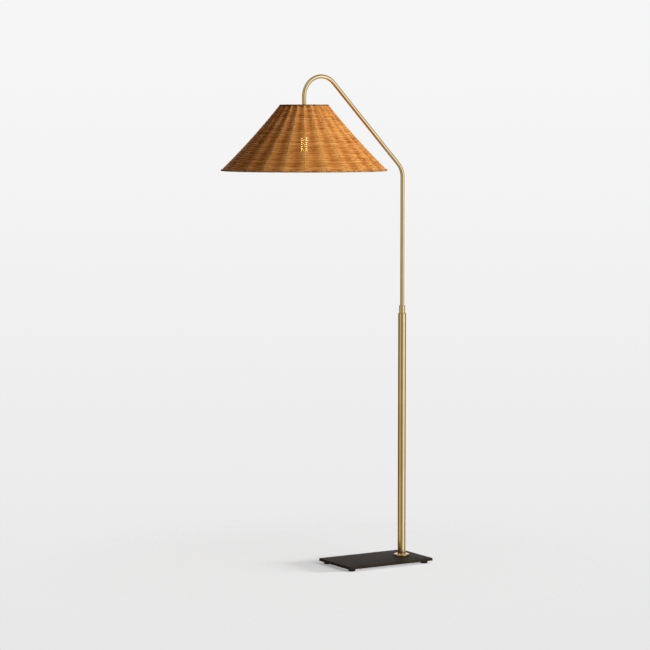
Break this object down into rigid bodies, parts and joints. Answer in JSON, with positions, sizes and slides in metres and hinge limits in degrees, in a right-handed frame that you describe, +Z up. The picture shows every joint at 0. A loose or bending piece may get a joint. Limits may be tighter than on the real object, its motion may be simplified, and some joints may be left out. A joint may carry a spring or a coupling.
{
  "type": "rattan floor lamp",
  "caption": "Floor lamp with a woven rattan cone shade hung from a hooked brass arm, which slides and turns in a brass column on a black steel plate.",
  "frame": {"origin": "on the floor, under the centre of the lamp's outline", "axes": "+Z up; X along the base plate's long side, with the arm and shade towards -X; +Y to the back"},
  "size_m": [0.6718, 0.5098, 1.5312],
  "materials": {
    "brass": "brushed antique brass, lacquered",
    "black_steel": "fine matt black powder coat",
    "steel": "zinc plated",
    "rubber": "moulded, matt",
    "black_plastic": "moulded, satin",
    "nylon": "natural nylon",
    "fibre_liner": "pressed fibre",
    "rattan": "woven peeled rattan, stained honey brown",
    "glass": "clear",
    "filament": "lit amber filament"
  },
  "bodies": {
    "stand": {"base_plate": "black_steel", "foot_front_left": "rubber", "foot_front_right": "rubber", "foot_back_left": "rubber", "foot_back_right": "rubber", "foot_screw_front_left": "steel", "foot_screw_front_right": "steel", "foot_screw_back_left": "steel", "foot_screw_back_right": "steel", "base_bolt": "steel", "base_washer": "steel", "column_foot_plug": "steel", "column_flange": "brass", "column_tube": "brass", "cord_outlet_bushing": "black_plastic", "ferrule": "brass", "friction_bush": "nylon"},
    "guide": {"guide_plug": "nylon"},
    "arm": {"arm_tube": "brass", "arm_end_bushing": "black_plastic", "arm_stop_ring": "steel", "shade_weave": "rattan", "shade_top_rim": "rattan", "shade_bottom_rim": "rattan", "shade_spider": "brass", "holder_nipple": "steel", "holder_nut": "steel", "holder_cap": "brass", "holder_shell": "brass", "holder_liner": "fibre_liner", "holder_insulator": "black_plastic", "holder_screw_shell": "brass", "holder_contact": "brass", "bulb_cap": "brass", "bulb_glass": "glass", "bulb_mount": "glass", "filament_1": "filament", "filament_2": "filament", "filament_3": "filament", "filament_4": "filament"},
    "switch": {"switch_knob": "brass"}
  },
  "joints": [
    {"name": "height_slide", "type": "slide", "parent": "stand", "child": "guide", "axis": [0, 0, 1], "range_m": [-0.3, 0.03]},
    {"name": "arm_swivel", "type": "hinge", "parent": "guide", "child": "arm", "pos_m": [0.27695, 0, 0.72], "axis": [0, 0, 1], "range_deg": [-165, 165]},
    {"name": "switch_turn", "type": "hinge", "parent": "arm", "child": "switch", "pos_m": [-0.10405, 0, 1.388], "axis": [-1, 0, 0], "continuous": true}
  ]
}
